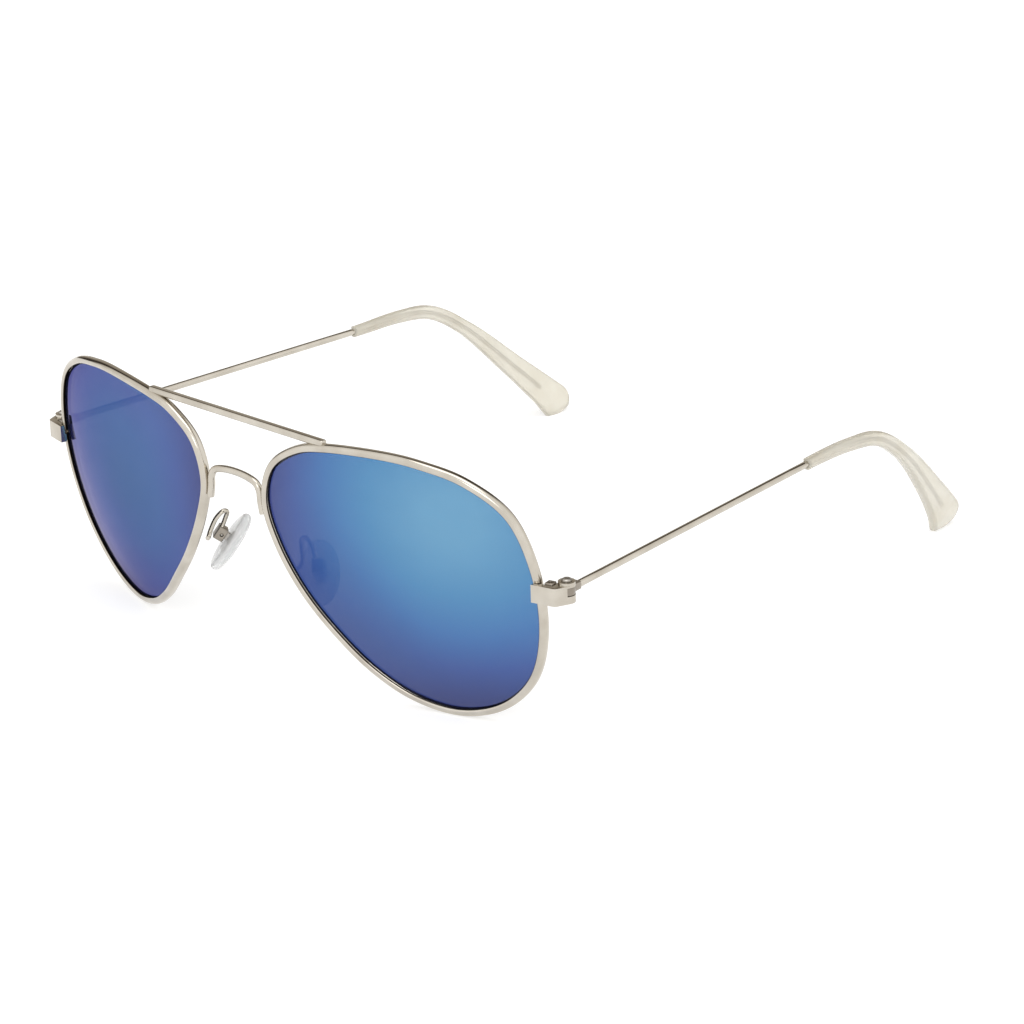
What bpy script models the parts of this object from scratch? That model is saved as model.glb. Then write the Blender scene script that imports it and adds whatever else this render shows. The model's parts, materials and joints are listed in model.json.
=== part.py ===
"""Metal-framed aviator sunglasses, modelled as the assembly that comes apart on a bench.

The origin is on the table that the sunglasses stand on, under their middle: +Z is up, the front
faces -Y, the temples reach back along +Y, and the wearer's left is +X. Lengths are in metres.
Only the wearer's left side is modelled; the right side is its mirror image, piece by piece. The
pieces are drawn with the lenses near y = 0, and each is moved forward onto the origin at the end.
"""
import math

import bmesh
import bpy
from mathutils import Matrix, Vector

MM = 0.001
ASSEMBLY = "aviator_sunglasses"
ONTO_ORIGIN = Matrix.Translation((0, -70.1 * MM, 0))    # by half the length, less the front's lead

# Lens and rim
LENS_CURVE = 108 * MM           # radius of the lens's middle surface
LENS_THICKNESS = 1.6 * MM
LENS_BLANK = 40 * MM            # radius of the round blank that the lens is edged from
LENS_FOOT = 0.45 * MM           # how far the lens edge stands into the rim's groove
LENS_LAND = 0.4 * MM            # width of the flat along the edge's point
LENS_SHOULDER = 0.25 * MM       # how far inside the rim the lens's full thickness starts
LENS_PLACE = Vector((36.8, -0.3, 37.0)) * MM
WRAP = math.radians(12.8)       # each lens turns back towards the temple
LEAN = math.radians(1.7)        # and its top leans forward
RIM_WIDTH = 1.4 * MM
RIM_DEPTH = 2.0 * MM
GROOVE_MOUTH = 1.52 * MM
GROOVE_FLOOR = 0.52 * MM
GROOVE_DEPTH = 0.6 * MM
RIM_STEPS = 58

# The rim's inner outline in millimetres, from the top middle towards the nose and round.
RIM_OUTLINE = [
    (0, 13.7), (-12.9, 12.9), (-19.5, 11.3), (-25.7, 6.9), (-27.8, 0), (-25.6, -7.6),
    (-20.5, -16.2), (-13.8, -23.8), (-7, -30), (0.5, -34.3), (9.6, -35.9), (18.5, -33.2),
    (25.3, -26.5), (28.6, -16.5), (28.3, -4.5), (24.2, 5.6), (16.2, 11), (7.6, 13.1),
]

# Hinge: its upright axis, and the end piece that carries it
HINGE_PLACE = Vector((68.8, 13.0, 29.6)) * MM
KNUCKLE_RADIUS = 1.6 * MM
HINGE_LOW = -1.8 * MM           # the knuckles' lower and upper ends, from the hinge's middle
HINGE_HIGH = 2.1 * MM
SLOT_HEIGHT = 1.6 * MM          # room between the two outer knuckles
SLOT_RISE = 0.4 * MM            # the slot and the wire lie this far above the hinge's middle
LEAF_HEIGHT = 1.45 * MM
LEAF_WIDTH = 1.4 * MM
LEAF_LENGTH = 3.3 * MM
SCREW_RADIUS = 0.5 * MM
SCREW_HOLE = 0.56 * MM
SCREW_HEAD_RADIUS = 0.95 * MM
SCREW_HEAD_HEIGHT = 0.45 * MM
END_PIECE_REACH = 5.4 * MM      # from the hinge axis to the end piece's inner edge
END_PIECE_HIGH = 1.6 * MM
END_PIECE_FRONT = 3.5 * MM      # from the hinge axis forward to its front face
END_PIECE_THICKNESS = 1.2 * MM
LOCK_WIDTH = 1.7 * MM
LOCK_DEPTH = 1.75 * MM
LOCK_HEIGHT = 3.8 * MM
RIM_SPLIT = 0.3 * MM
SAW_SIZE = Vector((4, 6)) * MM  # the saw that splits the rim, across and back
LOCK_SCREW_RADIUS = 0.35 * MM
LOCK_SCREW_HOLE = 0.4 * MM

# Temple: a wire from the hinge leaf into the tip, and the tip moulded round its end
TEMPLE_TURN = math.radians(5.16)
WIRE_RADIUS = 0.7 * MM
CORE_RADIUS = 0.45 * MM
BORE_RADIUS = 0.55 * MM
TIP_THICKNESS = 2.2 * MM
TIP_EDGE = 0.85 * MM            # rounding of the tip's long edges
# Side view of the temple's middle line from the sleeve's mouth: back from the hinge, height.
TIP_LINE = [(74.1, 30.75), (87.3, 30.8), (96.2, 29.5), (105.3, 23.9), (118.5, 11.5), (128.3, 1.7)]
# Half the tip's width at those stations.
TIP_HALF_WIDTH = [1.1, 1.3, 1.5, 1.65, 2.75, 3.9]
TIP_END = [(124.5, 0.85), (127.4, 0.75), (130.3, 2.0), (131.1, 3.4)]
CORE_END = 0.9                  # share of the tip's middle line that the core wire reaches
TIP_BOW = 1.1 * MM              # the temple bows outwards by this before its bend
TIP_LEAN = 4.9 * MM             # and the drop leans inwards by this on its way to the table

# Bridges
BROW_HALF_LENGTH = 23.6 * MM
BROW_THICKNESS = 1.5 * MM
BROW_HEIGHT = 1.35 * MM
BROW_PLACE = Vector((0, -2.0, 51.2)) * MM
BRIDGE_RADIUS = 0.7 * MM
BRIDGE_DEPTH = -3.0 * MM
BRIDGE_LINE = [(7.2, 33.9), (6.75, 36.2), (6.55, 38.2), (5.7, 39.5), (3.6, 40.2), (0, 40.5)]

# Nose pad: an oval pad on a metal insert, rocking on a screw in the box at the arm's end
PAD_PLACE = Vector((12.3, 5.8, 20.7)) * MM
PAD_UP = Vector((-0.40, 0.42, 0.81)).normalized()
PAD_FACING = Vector((-0.51, 0.63, -0.58))
PAD_LENGTH = 13.0 * MM
PAD_WIDTH = 7.6 * MM
PAD_THICKNESS = 2.2 * MM
PAD_PIVOT = Vector((0, 0.6, 2.5)) * MM    # the rocking axis, in the pad's own axes
INSERT_SIZE = Vector((2.6, 4.4, 0.5)) * MM
INSERT_ROOM = 0.2 * MM          # how much larger the pad's pocket is than the insert
LUG_SIZE = Vector((0.8, 1.5)) * MM
BOX_SIZE = Vector((2.3, 2.6, 2.0)) * MM
BOX_TOP = 1.2 * MM              # the box's closed side, beyond the rocking axis
BOX_WALL = 0.25 * MM
BOX_SLOT = 1.0 * MM
PAD_SCREW_RADIUS = 0.32 * MM
PAD_SCREW_HOLE = 0.38 * MM
ARM_RADIUS = 0.45 * MM
ARM_LINE = [
    (11.75, -1.2, 23.0), (12.35, 0.3, 23.3), (12.6, 1.15, 24.4), (11.7, 2.0, 26.9),
    (10.9, 3.1, 28.1), (11.0, 4.1, 27.7), (11.9, 4.4, 26.1), (12.68, 4.2, 24.36),
]

FIT_GAP = 0.05 * MM
JOIN_GAP = 0.1 * MM
WELD = 0.000001

METALS = {
    "nickel": ((0.79, 0.77, 0.74), 0.18),
    "steel": ((0.66, 0.65, 0.63), 0.28),
}


def clear_scene():
    """Remove every object that the file already holds."""
    for obj in list(bpy.data.objects):
        bpy.data.objects.remove(obj, do_unlink=True)


def make_collection(name):
    """Add a collection to the scene."""
    collection = bpy.data.collections.new(name)
    bpy.context.scene.collection.children.link(collection)
    return collection


def make_material(name, colour, roughness, metallic):
    """A plain shading for one piece."""
    material = bpy.data.materials.new(name)
    material.use_nodes = True
    shader = material.node_tree.nodes["Principled BSDF"]
    shader.inputs["Base Color"].default_value = (*colour, 1)
    shader.inputs["Roughness"].default_value = roughness
    shader.inputs["Metallic"].default_value = metallic
    return material


def metal(piece, kind="nickel"):
    """The frame's plated metal, as its own material for one piece."""
    colour, roughness = METALS[kind]
    return make_material(piece + "_metal", colour, roughness, 1.0)


def link(obj, collection):
    """Put an object into one collection."""
    collection.objects.link(obj)
    return obj


def weld(mesh):
    """Join the points that meet, and turn every face outwards."""
    shape = bmesh.new()
    shape.from_mesh(mesh)
    bmesh.ops.remove_doubles(shape, verts=shape.verts, dist=WELD)
    bmesh.ops.recalc_face_normals(shape, faces=shape.faces)
    shape.to_mesh(mesh)
    shape.free()


def make_piece(name, mesh, material):
    """A finished sub-part: outward faces, smooth round sides and its own material."""
    weld(mesh)
    mesh.transform(ONTO_ORIGIN)
    mesh.materials.clear()
    mesh.materials.append(material)
    mesh.shade_smooth()
    mesh.set_sharp_from_angle(angle=math.radians(35))
    return link(bpy.data.objects.new(name, mesh), pieces)


def evaluated_mesh(obj):
    """An object's mesh with its modifiers applied and its place baked in."""
    bpy.context.view_layer.update()
    final = obj.evaluated_get(bpy.context.evaluated_depsgraph_get())
    mesh = bpy.data.meshes.new_from_object(final)
    mesh.transform(obj.matrix_world)
    return mesh


def solid_from(obj):
    """Turn a working object into a welded mesh, and remove the object."""
    mesh = evaluated_mesh(obj)
    bpy.data.objects.remove(obj, do_unlink=True)
    weld(mesh)
    return mesh


def combined(mesh, operation, *tools):
    """Cut a mesh with others, join it to them, or keep what they share."""
    work = link(bpy.data.objects.new("work", mesh), cutters)
    helpers = []
    for tool in tools:
        helper = link(bpy.data.objects.new("cutter", tool), cutters)
        helper.hide_render = True
        helper.display_type = "WIRE"
        helpers.append(helper)
        boolean = work.modifiers.new("boolean", "BOOLEAN")
        boolean.operation = operation
        boolean.solver = "EXACT"
        boolean.object = helper
    result = solid_from(work)
    for helper in helpers:
        bpy.data.objects.remove(helper, do_unlink=True)
    return result


def smooth_line(points, count, closed=False):
    """Evenly spaced points on a centripetal Catmull-Rom curve through the given ones."""
    points = [Vector(point) for point in points]
    spans = len(points) if closed else len(points) - 1
    fine = []
    for i in range(spans):
        if closed:
            a, b, c, d = (points[(i + k) % len(points)] for k in (-1, 0, 1, 2))
        else:
            b, c = points[i], points[i + 1]
            a = points[i - 1] if i else 2 * b - c
            d = points[i + 2] if i + 2 < len(points) else 2 * c - b
        fine += [between(a, b, c, d, step / 24) for step in range(24)]
    fine.append(points[0] if closed else points[-1])
    return evenly(fine, count, closed)


def between(a, b, c, d, share):
    """A point at a share of the way from b to c, on the curve through a, b, c and d."""
    knots = [0.0]
    for first, second in ((a, b), (b, c), (c, d)):
        knots.append(knots[-1] + math.sqrt((second - first).length))
    t = knots[1] + share * (knots[2] - knots[1])

    def mix(p, q, low, high):
        return p.lerp(q, (t - knots[low]) / (knots[high] - knots[low]))

    ab, bc, cd = mix(a, b, 0, 1), mix(b, c, 1, 2), mix(c, d, 2, 3)
    return mix(mix(ab, bc, 0, 2), mix(bc, cd, 1, 3), 1, 2)


def evenly(points, count, closed):
    """Points at equal steps along a polyline; a closed one leaves out its repeated end."""
    lengths = [0.0]
    for first, second in zip(points, points[1:]):
        lengths.append(lengths[-1] + (second - first).length)
    steps = count if closed else count - 1
    result = []
    span = 0
    for i in range(count):
        target = lengths[-1] * i / steps
        while span < len(points) - 2 and lengths[span + 1] < target:
            span += 1
        share = (target - lengths[span]) / (lengths[span + 1] - lengths[span])
        result.append(points[span].lerp(points[span + 1], share))
    return result


def poly_curve(name, points, flat=False, closed=False, widths=None):
    """A curve object with straight spans through the points."""
    data = bpy.data.curves.new(name, "CURVE")
    data.dimensions = "2D" if flat else "3D"
    spline = data.splines.new("POLY")
    spline.points.add(len(points) - 1)
    for i, point in enumerate(points):
        spline.points[i].co = (*Vector(point).to_3d(), 1)
        spline.points[i].radius = widths[i] if widths else 1
    spline.use_cyclic_u = closed
    return link(bpy.data.objects.new(name, data), cutters)


def wire_mesh(points, radius, widths=None, sides=2):
    """A round wire with closed ends along the points."""
    wire = poly_curve("wire", points, widths=widths)
    wire.data.bevel_depth = radius
    wire.data.bevel_resolution = sides
    wire.data.use_fill_caps = True
    wire.data.twist_mode = "MINIMUM"
    return solid_from(wire)


def plate_mesh(outline, low, high, place):
    """A flat outline given thickness between two heights, then set in place."""
    plate = poly_curve("plate", outline, flat=True, closed=True)
    plate.data.fill_mode = "BOTH"
    plate.data.extrude = (high - low) / 2
    plate.matrix_world = place @ Matrix.Translation((0, 0, (low + high) / 2))
    return solid_from(plate)


def block_mesh(size, centre, place, rounding=0.0):
    """A box of the given size with softened edges."""
    bpy.ops.mesh.primitive_cube_add(size=1, location=(0, 0, 0))
    block = bpy.context.object
    block.data.transform(Matrix.Translation(centre) @ Matrix.Diagonal((*size, 1)))
    if rounding:
        bevel = block.modifiers.new("bevel", "BEVEL")
        bevel.width = rounding
        bevel.segments = 1
    block.matrix_world = place
    return solid_from(block)


def turned_mesh(profile, steps, place):
    """A profile of (radius, height) points turned about the upright axis."""
    mesh = bpy.data.meshes.new("profile")
    rows = [(radius, 0, height) for radius, height in profile]
    mesh.from_pydata(rows, [(i, i + 1) for i in range(len(rows) - 1)], [])
    turned = link(bpy.data.objects.new("turned", mesh), cutters)
    screw = turned.modifiers.new("screw", "SCREW")
    screw.steps = steps
    screw.render_steps = steps
    screw.use_merge_vertices = True
    screw.merge_threshold = WELD
    turned.matrix_world = place
    return solid_from(turned)


def arc(centre, radius, start, end, steps):
    """Points along a circular arc; angles are in degrees."""
    angles = [math.radians(start + (end - start) * i / steps) for i in range(steps + 1)]
    return [centre + radius * Vector((math.cos(a), math.sin(a))) for a in angles]


def screw_profile(shaft, head, length, head_height):
    """A screw from the top of its head down to its point, with its head above zero."""
    return [
        (0, head_height), (head * 0.8, head_height), (head, head_height * 0.6), (head, 0),
        (shaft, 0), (shaft, -length + shaft / 2), (shaft / 2, -length), (0, -length),
    ]


def slotted_screw(shaft, head, length, head_height, place):
    """A turned screw with a driver slot across its head."""
    body = turned_mesh(screw_profile(shaft, head, length, head_height), 12, place)
    slot_size = Vector((head * 3, head * 0.3, head_height))
    slot = block_mesh(slot_size, Vector((0, 0, head_height)), place)
    return combined(body, "DIFFERENCE", slot)


def pin_hole(radius, length, place):
    """A cutter for a round hole along the upright axis, centred on its place."""
    half = length / 2
    return turned_mesh([(0, half), (radius, half), (radius, -half), (0, -half)], 12, place)


def rest_flat(mesh):
    """Trim what dips below the table to a small flat that the piece rests on."""
    shape = bmesh.new()
    shape.from_mesh(mesh)
    whole = list(shape.verts) + list(shape.edges) + list(shape.faces)
    bmesh.ops.bisect_plane(shape, geom=whole, dist=WELD, plane_co=(0, 0, 0),
                           plane_no=(0, 0, 1), clear_inner=True)
    open_edges = [edge for edge in shape.edges if edge.is_boundary]
    bmesh.ops.contextual_create(shape, geom=open_edges)
    shape.to_mesh(mesh)
    shape.free()
    return mesh


def lens_frame():
    """From a lens's own axes (across, back, up) to the assembly."""
    turn = Matrix.Rotation(LEAN, 4, "X") @ Matrix.Rotation(WRAP, 4, "Z")
    return Matrix.Translation(LENS_PLACE) @ turn


def facing_forward():
    """Stands a flat drawing up in the lens's axes: its X across, its Y up, its Z forward."""
    return lens_frame() @ Matrix.Rotation(math.radians(90), 4, "X")


def lens_sag(x, z):
    """How far the lens's middle surface has fallen back at a point of its outline."""
    return LENS_CURVE - math.sqrt(LENS_CURVE ** 2 - x * x - z * z)


def rim_outline():
    """The rim's inner edge as even points (across, up)."""
    points = [Vector(point).to_3d() * MM for point in RIM_OUTLINE]
    return smooth_line(points, RIM_STEPS, closed=True)


def grown(points, amount):
    """A closed outline moved outwards by an amount."""
    result = []
    for i, point in enumerate(points):
        run = points[(i + 1) % len(points)] - points[i - 1]
        result.append(point + amount * Vector((-run.y, run.x, 0)).normalized() * -1)
    return result


def rim_section():
    """The rim's section: outward from the lens, and forward; the groove is on its inner side."""
    half = RIM_DEPTH / 2
    soft = 0.35 * MM
    mouth, floor = GROOVE_MOUTH / 2, GROOVE_FLOOR / 2
    return [
        (0, half), (RIM_WIDTH - soft, half), (RIM_WIDTH, half - soft), (RIM_WIDTH, soft - half),
        (RIM_WIDTH - soft, -half), (0, -half), (0, -mouth), (GROOVE_DEPTH, -floor),
        (GROOVE_DEPTH, floor), (0, mouth),
    ]


def swept_round_lens(outline):
    """A section (outward, forward) swept along the rim's inner edge."""
    line = [Vector((p.x, p.y, -lens_sag(p.x, p.y))) for p in rim_outline()]
    section = poly_curve("section", outline, flat=True, closed=True)
    section.data.fill_mode = "NONE"
    sweep = poly_curve("sweep", line, closed=True)
    sweep.data.bevel_mode = "OBJECT"
    sweep.data.bevel_object = section
    sweep.data.twist_mode = "Z_UP"
    sweep.matrix_world = facing_forward()
    ring = solid_from(sweep)
    bpy.data.objects.remove(section, do_unlink=True)
    return ring


def rim_room():
    """A cutter that seats a soldered piece over the rim with a thin gap."""
    outer, half = RIM_WIDTH + JOIN_GAP, RIM_DEPTH / 2 + JOIN_GAP
    return swept_round_lens([(-JOIN_GAP, half), (outer, half), (outer, -half), (-JOIN_GAP, -half)])


def make_rim():
    """The eyewire: a grooved ring round the lens, split where its lock closes it."""
    rim = swept_round_lens(rim_section())
    saw_size = Vector((*SAW_SIZE, RIM_SPLIT))
    inward = Vector((-SAW_SIZE.x / 2, 0, 0))
    saw = block_mesh(saw_size, lock_place() + inward, hinge_frame())
    return rest_flat(combined(rim, "DIFFERENCE", saw))


def make_lens():
    """The lens: a round curved blank, edged to the rim's outline and bevelled for its groove."""
    front = LENS_CURVE + LENS_THICKNESS / 2
    back = LENS_CURVE - LENS_THICKNESS / 2
    radii = [LENS_BLANK * i / 5 for i in range(6)]
    profile = [(r, math.sqrt(front ** 2 - r * r) - LENS_CURVE) for r in radii]
    profile += [(r, math.sqrt(back ** 2 - r * r) - LENS_CURVE) for r in reversed(radii)]
    blank = turned_mesh(profile, 30, facing_forward())
    edge = grown(rim_outline(), RIM_WIDTH)
    former = plate_mesh(edge, -20 * MM, 20 * MM, facing_forward())
    rough = combined(blank, "INTERSECT", former)
    return combined(rough, "DIFFERENCE", swept_round_lens(edging_section()))


def edging_section():
    """The grinding wheel's section: it leaves a blunt V round the lens for the rim's groove."""
    face, land = LENS_THICKNESS / 2, LENS_LAND / 2
    far = 2 * RIM_DEPTH
    return [
        (-LENS_SHOULDER, far), (far, far), (far, -far), (-LENS_SHOULDER, -far),
        (-LENS_SHOULDER, -face), (LENS_FOOT, -land), (LENS_FOOT, land), (-LENS_SHOULDER, face),
    ]


def hinge_frame():
    """From the hinge's axes (outwards, back, up) to the assembly, square to the lens's edge."""
    return Matrix.Translation(HINGE_PLACE) @ Matrix.Rotation(WRAP, 4, "Z")


def make_end_piece():
    """The end piece: a bent strap across the rim's front, with the two outer knuckles."""
    back = END_PIECE_THICKNESS - END_PIECE_FRONT
    middle = Vector((0, 0))
    corner = Vector((-0.9 * MM, 0.8 * MM - END_PIECE_FRONT))
    outline = [Vector((-END_PIECE_REACH, back)), Vector((-END_PIECE_REACH, -END_PIECE_FRONT))]
    outline += arc(corner, 0.8 * MM, -90, -35, 3)
    outline += arc(middle, KNUCKLE_RADIUS, -35, 180, 12)
    outline.append(Vector((-KNUCKLE_RADIUS, back)))
    strap = plate_mesh(outline, HINGE_LOW, END_PIECE_HIGH, hinge_frame())
    barrel = arc(middle, KNUCKLE_RADIUS, 0, 360, 20)[:-1]
    knuckles = plate_mesh(barrel, HINGE_LOW, HINGE_HIGH, hinge_frame())
    end_piece = combined(strap, "UNION", knuckles)
    return combined(end_piece, "DIFFERENCE", knuckle_cutter(), rim_room())


def knuckle_cutter():
    """A stepped cutter: the screw's hole, widening to the slot for the temple's knuckle."""
    far, slot = 2 * HINGE_HIGH, SLOT_HEIGHT / 2
    room = KNUCKLE_RADIUS + 0.15 * MM
    upper = [(0, far), (SCREW_HOLE, far), (SCREW_HOLE, slot), (room, slot)]
    lower = [(radius, -height) for radius, height in reversed(upper)]
    place = hinge_frame() @ Matrix.Translation((0, 0, SLOT_RISE))
    return turned_mesh(upper + lower, 16, place)


def lock_place():
    """Middle of the rim lock, in the hinge's axes."""
    across = -KNUCKLE_RADIUS - JOIN_GAP - LOCK_WIDTH / 2
    back = END_PIECE_THICKNESS - END_PIECE_FRONT + JOIN_GAP + LOCK_DEPTH / 2
    return Vector((across, back, 0))


def make_rim_lock(level):
    """Half of the block that closes the split rim: level is 1 above the split, -1 below."""
    height = (LOCK_HEIGHT - RIM_SPLIT) / 2
    centre = lock_place() + Vector((0, 0, level * (height + RIM_SPLIT) / 2))
    size = Vector((LOCK_WIDTH, LOCK_DEPTH, height))
    block = block_mesh(size, centre, hinge_frame(), 0.15 * MM)
    hole_place = hinge_frame() @ Matrix.Translation(centre)
    return combined(block, "DIFFERENCE", pin_hole(LOCK_SCREW_HOLE, 4 * MM, hole_place))


def make_rim_lock_screw():
    """The screw that draws the two lock halves together, its head underneath."""
    seat = lock_place() - Vector((0, 0, LOCK_HEIGHT / 2 + FIT_GAP))
    place = hinge_frame() @ Matrix.Translation(seat) @ Matrix.Rotation(math.pi, 4, "X")
    return slotted_screw(LOCK_SCREW_RADIUS, 0.7 * MM, 3.6 * MM, 0.35 * MM, place)


def make_hinge_screw():
    """The hinge screw, dropped in from above through the three knuckles."""
    place = hinge_frame() @ Matrix.Translation((0, 0, HINGE_HIGH + FIT_GAP))
    length = HINGE_HIGH - HINGE_LOW + FIT_GAP
    return slotted_screw(SCREW_RADIUS, SCREW_HEAD_RADIUS, length, SCREW_HEAD_HEIGHT, place)


def temple_frame():
    """From the open temple's axes (outwards, back, up) to the assembly."""
    return Matrix.Translation(HINGE_PLACE) @ Matrix.Rotation(TEMPLE_TURN, 4, "Z")


def make_temple_hinge():
    """The temple's knuckle and the leaf that its wire is brazed to."""
    radius = KNUCKLE_RADIUS - 0.05 * MM
    half = LEAF_WIDTH / 2
    reach = math.degrees(math.acos(half / radius))
    outline = arc(Vector((0, 0)), radius, 180 - reach, 360 + reach, 16)
    outline += [Vector((half, LEAF_LENGTH)), Vector((-half, LEAF_LENGTH))]
    low, high = SLOT_RISE - LEAF_HEIGHT / 2, SLOT_RISE + LEAF_HEIGHT / 2
    leaf = plate_mesh(outline, low, high, temple_frame())
    return combined(leaf, "DIFFERENCE", pin_hole(SCREW_HOLE, 4 * MM, temple_frame()))


def temple_sweep(back, up):
    """How far outwards the tip stands, a distance back from the hinge and up from the table."""
    start, bend = TIP_LINE[0][0] * MM, TIP_LINE[2][0] * MM
    share = min(1.0, max(0.0, (back - start) / (bend - start)))
    fallen = max(0.0, 1 - up / (TIP_LINE[2][1] * MM))
    return TIP_BOW * share * share * (3 - 2 * share) - TIP_LEAN * fallen ** 1.9


def tip_middle(count):
    """The tip's middle line: points (outwards, back, up from the hinge)."""
    line = smooth_line([Vector((back, up, 0)) * MM for back, up in TIP_LINE], count)
    rise = HINGE_PLACE.z
    return [Vector((temple_sweep(p.x, p.y), p.x, p.y - rise)) for p in line]


def make_temple_wire():
    """The temple's wire: straight from the leaf, then a thinner core inside the tip."""
    start = Vector((0, LEAF_LENGTH + FIT_GAP, SLOT_RISE))
    core = tip_middle(22)
    core = core[:round(len(core) * CORE_END)]
    mouth = core[0].copy()
    mouth.y -= JOIN_GAP
    straight = [start.lerp(mouth, i / 4) for i in range(5)]
    step = mouth + (core[1] - core[0]).normalized() * 0.02 * MM
    line = [temple_frame() @ point for point in straight + [step] + core[1:]]
    widths = [1.0] * len(straight) + [CORE_RADIUS / WIRE_RADIUS] * len(core)
    return wire_mesh(line, WIRE_RADIUS, widths)


def half_width(back):
    """Half the tip's width at a distance back from the hinge."""
    for i in range(len(TIP_LINE) - 1):
        low, high = TIP_LINE[i][0] * MM, TIP_LINE[i + 1][0] * MM
        if back <= high or i == len(TIP_LINE) - 2:
            share = (back - low) / (high - low)
            share = min(1.0, max(0.0, share))
            return (TIP_HALF_WIDTH[i] * (1 - share) + TIP_HALF_WIDTH[i + 1] * share) * MM
    return 0.0


def tip_outline():
    """The tip's side view (back, up), drawn inside its edge by the edge's rounding."""
    line = [Vector((p.y, p.z)) for p in tip_middle(22)]
    line[0] += (line[1] - line[0]).normalized() * TIP_EDGE
    upper, lower = [], []
    for i, point in enumerate(line[:-1]):
        run = (line[i + 1] - line[max(i - 1, 0)]).normalized()
        side = Vector((-run.y, run.x)) * (half_width(point.x) - TIP_EDGE)
        upper.append(point + side)
        lower.append(point - side)
    limit = TIP_END[0][0] * MM - 1.5 * MM
    lower = [point for point in lower if point.x < limit]
    end = [Vector((back * MM, up * MM - HINGE_PLACE.z)) for back, up in TIP_END]
    return upper + list(reversed(end)) + list(reversed(lower))


def make_temple_tip():
    """The moulded tip: its side outline with rounded edges, bent inwards, bored for the core."""
    side_view = poly_curve("tip", tip_outline(), flat=True, closed=True)
    side_view.data.fill_mode = "BOTH"
    side_view.data.extrude = TIP_THICKNESS / 2 - TIP_EDGE
    side_view.data.bevel_depth = TIP_EDGE
    side_view.data.bevel_resolution = 1
    side_view.matrix_world = Matrix(((0, 0, 1, 0), (1, 0, 0, 0), (0, 1, 0, 0), (0, 0, 0, 1)))
    mesh = solid_from(side_view)
    for vertex in mesh.vertices:
        vertex.co.x += temple_sweep(vertex.co.y, vertex.co.z + HINGE_PLACE.z)
    mesh.transform(temple_frame())
    bore = tip_middle(22)
    bore = bore[:round(len(bore) * CORE_END) + 1]
    bore[0].y -= 1 * MM
    bore = wire_mesh([temple_frame() @ point for point in bore], BORE_RADIUS)
    return rest_flat(combined(mesh, "DIFFERENCE", bore))


def make_brow_bar():
    """The straight brow bar, saddled on top of both rims."""
    size = Vector((2 * BROW_HALF_LENGTH, BROW_THICKNESS, BROW_HEIGHT))
    bar = block_mesh(size, BROW_PLACE, Matrix.Identity(4), 0.3 * MM)
    left = rim_room()
    right = left.copy()
    right.transform(Matrix.Diagonal((-1, 1, 1, 1)))
    right.flip_normals()
    return combined(bar, "DIFFERENCE", left, right)


def make_nose_bridge():
    """The arched nose bridge, its legs lying along the rims."""
    half = [Vector((x * MM, BRIDGE_DEPTH, z * MM)) for x, z in BRIDGE_LINE]
    other = [Vector((-p.x, p.y, p.z)) for p in reversed(half[:-1])]
    return wire_mesh(smooth_line(half + other, 31), BRIDGE_RADIUS)


def pad_frame():
    """From the pad's axes (across, along, outward from the nose) to the assembly."""
    outward = -(PAD_FACING - PAD_FACING.dot(PAD_UP) * PAD_UP).normalized()
    across = PAD_UP.cross(outward)
    turn = Matrix((across, PAD_UP, outward)).transposed().to_4x4()
    return Matrix.Translation(PAD_PLACE) @ turn


def pivot_frame():
    """The pad's frame moved out to the axis that it rocks on."""
    return pad_frame() @ Matrix.Translation(PAD_PIVOT)


def make_nose_pad():
    """The soft oval pad, moulded round its insert."""
    bpy.ops.mesh.primitive_uv_sphere_add(segments=20, ring_count=10, radius=0.5)
    pad = bpy.context.object
    size = (PAD_WIDTH, PAD_LENGTH, PAD_THICKNESS * 2.2)
    pad.data.transform(Matrix.Diagonal((*size, 1)))
    for vertex in pad.data.vertices:
        limit = PAD_THICKNESS * (0.5 if vertex.co.z > 0 else 0.55)
        vertex.co.z = limit * math.tanh(vertex.co.z / limit)
    pad.matrix_world = pad_frame()
    mesh = solid_from(pad)
    room = Vector((INSERT_ROOM, INSERT_ROOM, INSERT_ROOM))
    pocket = block_mesh(INSERT_SIZE + room, Vector((0, 0, 0)), pad_frame())
    throat_size = Vector((LUG_SIZE.x, LUG_SIZE.y, PAD_PIVOT.z)) + room
    throat = block_mesh(throat_size, Vector((0, PAD_PIVOT.y, PAD_PIVOT.z / 2)), pad_frame())
    return combined(mesh, "DIFFERENCE", pocket, throat)


def make_pad_insert():
    """The insert: a plate inside the pad, with a lug that stands out into the box."""
    plate = block_mesh(INSERT_SIZE, Vector((0, 0, 0)), pad_frame())
    lug_top = PAD_PIVOT.z + LUG_SIZE.y / 2
    lug_size = Vector((LUG_SIZE.x, LUG_SIZE.y, lug_top))
    lug = block_mesh(lug_size, Vector((0, PAD_PIVOT.y, lug_top / 2)), pad_frame())
    cross = pivot_frame() @ Matrix.Rotation(math.radians(90), 4, "Y")
    joined = combined(plate, "UNION", lug)
    return combined(joined, "DIFFERENCE", pin_hole(PAD_SCREW_HOLE, 3 * MM, cross))


def make_pad_box():
    """The box at the arm's end: two cheeks and a back round the insert's lug."""
    middle = Vector((0, 0, BOX_TOP - BOX_SIZE.z / 2))
    body = block_mesh(BOX_SIZE, middle, pivot_frame(), 0.12 * MM)
    slot_size = Vector((BOX_SLOT, BOX_SIZE.y - 2 * BOX_WALL, BOX_SIZE.z))
    slot = block_mesh(slot_size, middle - Vector((0, 0, BOX_WALL)), pivot_frame())
    cross = pivot_frame() @ Matrix.Rotation(math.radians(90), 4, "Y")
    return combined(body, "DIFFERENCE", slot, pin_hole(PAD_SCREW_HOLE, 4 * MM, cross))


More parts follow.
